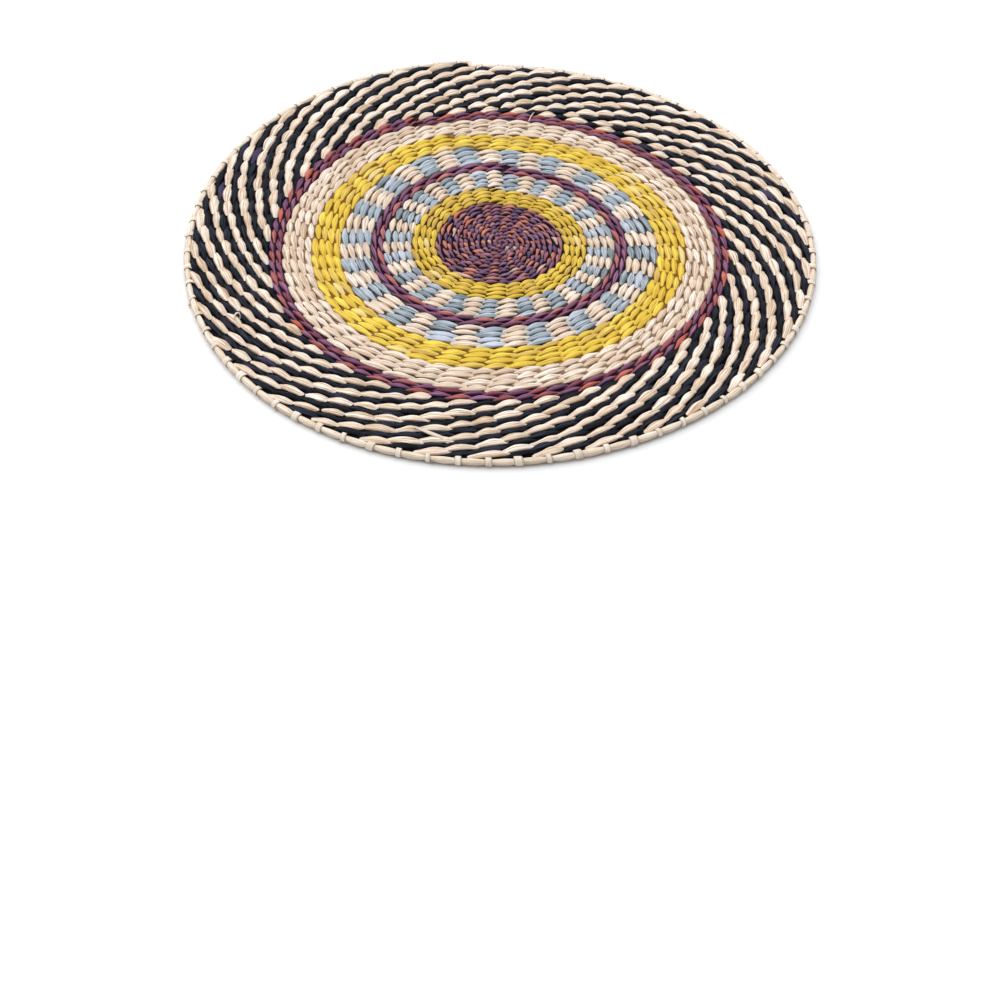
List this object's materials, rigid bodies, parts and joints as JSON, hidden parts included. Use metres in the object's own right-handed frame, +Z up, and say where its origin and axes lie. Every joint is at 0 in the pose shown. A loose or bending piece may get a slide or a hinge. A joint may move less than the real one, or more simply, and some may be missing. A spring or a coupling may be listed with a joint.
{
  "type": "seagrass placemat",
  "caption": "Round twined seagrass placemat with colour bands, a two-colour swirl border and a bound edge, lying flat.",
  "frame": {"origin": "middle of the weave on the flat underside, where the mat lies on the table", "axes": "+Z up through the mat's thickness, +X and +Y in the plane of the mat"},
  "size_m": [0.3802, 0.38, 0.006],
  "materials": {
    "twined_seagrass": "dry twisted grass strands in natural straw, navy black, yellow, blue grey and purple, low satin sheen",
    "edge_seagrass": "natural straw strand, pale, with a low satin sheen"
  },
  "bodies": {
    "root": {"woven_mat": "twined_seagrass", "edge_strand": "edge_seagrass"}
  },
  "joints": []
}
